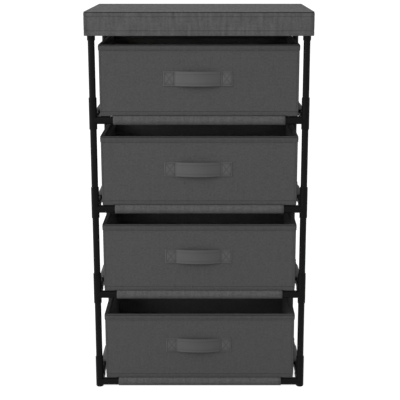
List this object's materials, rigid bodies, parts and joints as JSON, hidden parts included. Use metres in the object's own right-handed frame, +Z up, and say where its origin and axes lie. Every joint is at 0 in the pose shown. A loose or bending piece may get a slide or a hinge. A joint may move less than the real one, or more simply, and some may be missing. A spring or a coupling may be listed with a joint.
{
  "type": "fabric drawer dresser",
  "caption": "Tall narrow rack of black tubes with open-topped grey fabric drawers, strap handles and a skirted fabric cover on top.",
  "frame": {"origin": "on the floor under the middle of the cover", "axes": "+Z up, -Y out of the drawer fronts, +X to the right as seen from the front"},
  "size_m": [0.45, 0.3, 0.785],
  "materials": {
    "black_plastic": "satin moulded",
    "black_tube": "satin powder coat",
    "cover_cloth": "non-woven cloth with fine embossed squares",
    "shelf_cloth": "non-woven cloth",
    "drawer_cloth": "non-woven cloth",
    "hem_cloth": "folded and stitched non-woven cloth",
    "strap": "woven webbing",
    "board": "plain grey-brown board"
  },
  "bodies": {
    "frame": {"top_connector_front_left": "black_plastic", "top_connector_front_right": "black_plastic", "top_connector_back_right": "black_plastic", "top_connector_back_left": "black_plastic", "connector_1_front_left": "black_plastic", "connector_1_front_right": "black_plastic", "connector_1_back_right": "black_plastic", "connector_1_back_left": "black_plastic", "connector_2_front_left": "black_plastic", "connector_2_front_right": "black_plastic", "connector_2_back_right": "black_plastic", "connector_2_back_left": "black_plastic", "connector_3_front_left": "black_plastic", "connector_3_front_right": "black_plastic", "connector_3_back_right": "black_plastic", "connector_3_back_left": "black_plastic", "foot_front_left": "black_plastic", "foot_front_right": "black_plastic", "foot_back_right": "black_plastic", "foot_back_left": "black_plastic", "uprights_1": "black_tube", "uprights_2": "black_tube", "uprights_3": "black_tube", "uprights_4": "black_tube", "cross_rails_top": "black_tube", "cross_rails_1": "black_tube", "cross_rails_2": "black_tube", "cross_rails_3": "black_tube", "cross_rails_4": "black_tube", "side_rails_top": "black_tube", "side_rails_1": "black_tube", "side_rails_2": "black_tube", "side_rails_3": "black_tube", "side_rails_4": "black_tube", "shelf_1": "shelf_cloth", "shelf_2": "shelf_cloth", "shelf_3": "shelf_cloth", "shelf_4": "shelf_cloth"},
    "cover": {"cover_fabric": "cover_cloth", "cover_board": "board"},
    "drawer_1": {"drawer_1_fabric": "drawer_cloth", "drawer_1_wall_boards": "board", "drawer_1_base_board": "board", "drawer_1_hem": "hem_cloth", "drawer_1_handle": "strap"},
    "drawer_2": {"drawer_2_fabric": "drawer_cloth", "drawer_2_wall_boards": "board", "drawer_2_base_board": "board", "drawer_2_hem": "hem_cloth", "drawer_2_handle": "strap"},
    "drawer_3": {"drawer_3_fabric": "drawer_cloth", "drawer_3_wall_boards": "board", "drawer_3_base_board": "board", "drawer_3_hem": "hem_cloth", "drawer_3_handle": "strap"},
    "drawer_4": {"drawer_4_fabric": "drawer_cloth", "drawer_4_wall_boards": "board", "drawer_4_base_board": "board", "drawer_4_hem": "hem_cloth", "drawer_4_handle": "strap"}
  },
  "joints": [
    {"name": "drawer_1_slide", "type": "slide", "parent": "frame", "child": "drawer_1", "axis": [0, -1, 0], "range_m": [0, 0.24]},
    {"name": "drawer_2_slide", "type": "slide", "parent": "frame", "child": "drawer_2", "axis": [0, -1, 0], "range_m": [0, 0.24]},
    {"name": "drawer_3_slide", "type": "slide", "parent": "frame", "child": "drawer_3", "axis": [0, -1, 0], "range_m": [0, 0.24]},
    {"name": "drawer_4_slide", "type": "slide", "parent": "frame", "child": "drawer_4", "axis": [0, -1, 0], "range_m": [0, 0.24]},
    {"name": "cover_lift", "type": "slide", "parent": "frame", "child": "cover", "axis": [0, 0, 1], "range_m": [0, 0.06]}
  ]
}
